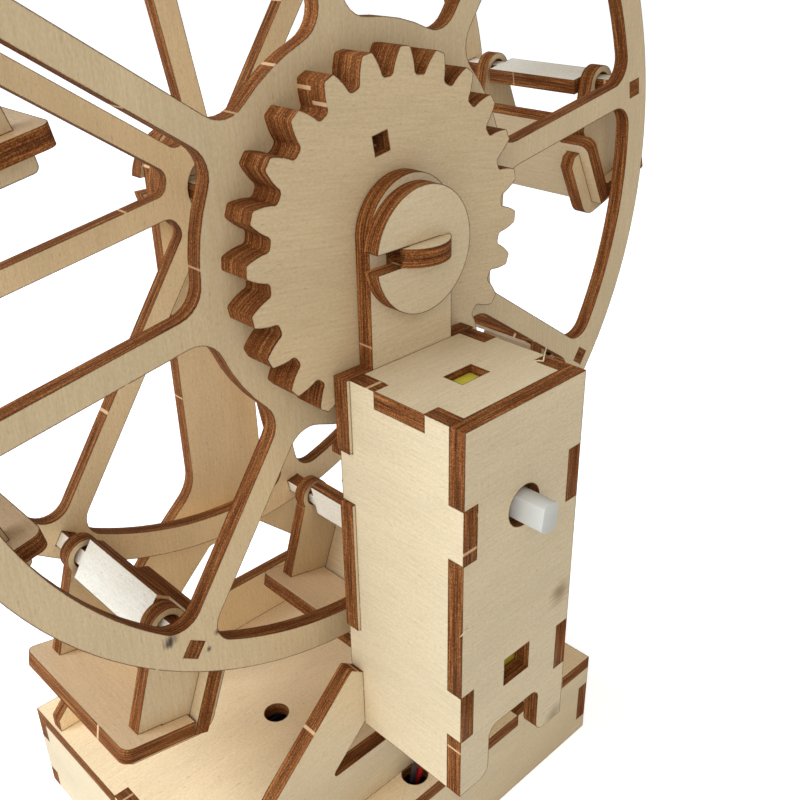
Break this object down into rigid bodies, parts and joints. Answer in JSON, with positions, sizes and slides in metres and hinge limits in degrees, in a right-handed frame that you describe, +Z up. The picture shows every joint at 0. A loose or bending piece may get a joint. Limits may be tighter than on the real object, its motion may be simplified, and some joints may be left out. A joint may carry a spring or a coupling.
{
  "type": "wooden ferris wheel puzzle",
  "caption": "Slot-together plywood ferris wheel kit with a geared motor in a tower, a finger-jointed box base and free-swinging gondolas.",
  "frame": {"origin": "underside of the base, below the axle and midway between the wheel's two rings", "axes": "+Z up, +Y along the axle from the motor tower to the back, +X to the right seen from the tower"},
  "size_m": [0.1737, 0.1013, 0.214],
  "materials": {
    "birch_face": "pale rotary-cut plywood faces with laser-browned edges",
    "birch_light": "paler plywood of the box pieces, edges browned by the laser",
    "yellow_plastic": "moulded yellow nylon",
    "clear_plastic": "thin greenish clear plastic strap",
    "white_plastic": "moulded white nylon",
    "steel": "plain plated steel",
    "black_plastic": "moulded black plastic",
    "cell_wrap": "plain grey shrink sleeve on a steel cell",
    "red_wire": "red PVC insulation",
    "black_wire": "black PVC insulation"
  },
  "bodies": {
    "root": {"base_top": "birch_face", "base_bottom": "birch_face", "front_frame": "birch_face", "rear_frame": "birch_face", "axle_bar": "birch_face", "base_front_wall": "birch_light", "base_back_wall": "birch_light", "base_left_wall": "birch_light", "base_right_wall": "birch_light", "tower_front": "birch_light", "tower_left": "birch_light", "tower_right": "birch_light", "tower_lid": "birch_light", "front_cap": "birch_light", "rear_cap": "birch_light", "rear_washer": "birch_light", "motor_gearbox": "yellow_plastic", "motor_can": "steel", "motor_strap": "clear_plastic", "battery_holder": "black_plastic", "battery_cells": "cell_wrap", "battery_contacts": "steel", "red_lead": "red_wire", "black_lead": "black_wire"},
    "wheel": {"front_ring": "birch_face", "rear_ring": "birch_face", "gear_front_ply": "birch_face", "gear_back_ply": "birch_face", "cross_bars": "birch_light"},
    "pinion": {"pinion_front_ply": "birch_face", "pinion_back_ply": "birch_face", "motor_shaft": "white_plastic"},
    "gondola_a": {"gondola_a_ends": "birch_face", "gondola_a_floor": "birch_face", "gondola_a_back": "birch_light"},
    "gondola_b": {"gondola_b_ends": "birch_face", "gondola_b_floor": "birch_face", "gondola_b_back": "birch_light"},
    "gondola_c": {"gondola_c_ends": "birch_face", "gondola_c_floor": "birch_face", "gondola_c_back": "birch_light"},
    "gondola_d": {"gondola_d_ends": "birch_face", "gondola_d_floor": "birch_face", "gondola_d_back": "birch_light"},
    "gondola_e": {"gondola_e_ends": "birch_face", "gondola_e_floor": "birch_face", "gondola_e_back": "birch_light"},
    "gondola_f": {"gondola_f_ends": "birch_face", "gondola_f_floor": "birch_face", "gondola_f_back": "birch_light"},
    "gondola_g": {"gondola_g_ends": "birch_face", "gondola_g_floor": "birch_face", "gondola_g_back": "birch_light"},
    "gondola_h": {"gondola_h_ends": "birch_face", "gondola_h_floor": "birch_face", "gondola_h_back": "birch_light"}
  },
  "joints": [
    {"name": "wheel_spin", "type": "hinge", "parent": "root", "child": "wheel", "pos_m": [0, 0, 0.135], "axis": [0, 1, 0], "continuous": true},
    {"name": "pinion_spin", "type": "hinge", "parent": "root", "child": "pinion", "pos_m": [0, -0.027, 0.0976], "axis": [0, 1, 0], "continuous": true},
    {"name": "gondola_a_swing", "type": "hinge", "parent": "wheel", "child": "gondola_a", "pos_m": [0.07372, 0, 0.14826], "axis": [0, 1, 0], "continuous": true},
    {"name": "gondola_b_swing", "type": "hinge", "parent": "wheel", "child": "gondola_b", "pos_m": [0.04275, 0, 0.1965], "axis": [0, 1, 0], "continuous": true},
    {"name": "gondola_c_swing", "type": "hinge", "parent": "wheel", "child": "gondola_c", "pos_m": [-0.01326, 0, 0.20872], "axis": [0, 1, 0], "continuous": true},
    {"name": "gondola_d_swing", "type": "hinge", "parent": "wheel", "child": "gondola_d", "pos_m": [-0.0615, 0, 0.17775], "axis": [0, 1, 0], "continuous": true},
    {"name": "gondola_e_swing", "type": "hinge", "parent": "wheel", "child": "gondola_e", "pos_m": [-0.07372, 0, 0.12174], "axis": [0, 1, 0], "continuous": true},
    {"name": "gondola_f_swing", "type": "hinge", "parent": "wheel", "child": "gondola_f", "pos_m": [-0.04275, 0, 0.0735], "axis": [0, 1, 0], "continuous": true},
    {"name": "gondola_g_swing", "type": "hinge", "parent": "wheel", "child": "gondola_g", "pos_m": [0.01326, 0, 0.06128], "axis": [0, 1, 0], "continuous": true},
    {"name": "gondola_h_swing", "type": "hinge", "parent": "wheel", "child": "gondola_h", "pos_m": [0.0615, 0, 0.09225], "axis": [0, 1, 0], "continuous": true}
  ],
  "couplings": [
    {"joint": "pinion_spin", "follows": "wheel_spin", "ratio": -3},
    {"joint": "gondola_a_swing", "follows": "wheel_spin", "ratio": -1},
    {"joint": "gondola_b_swing", "follows": "wheel_spin", "ratio": -1},
    {"joint": "gondola_c_swing", "follows": "wheel_spin", "ratio": -1},
    {"joint": "gondola_d_swing", "follows": "wheel_spin", "ratio": -1},
    {"joint": "gondola_e_swing", "follows": "wheel_spin", "ratio": -1},
    {"joint": "gondola_f_swing", "follows": "wheel_spin", "ratio": -1},
    {"joint": "gondola_g_swing", "follows": "wheel_spin", "ratio": -1},
    {"joint": "gondola_h_swing", "follows": "wheel_spin", "ratio": -1}
  ]
}
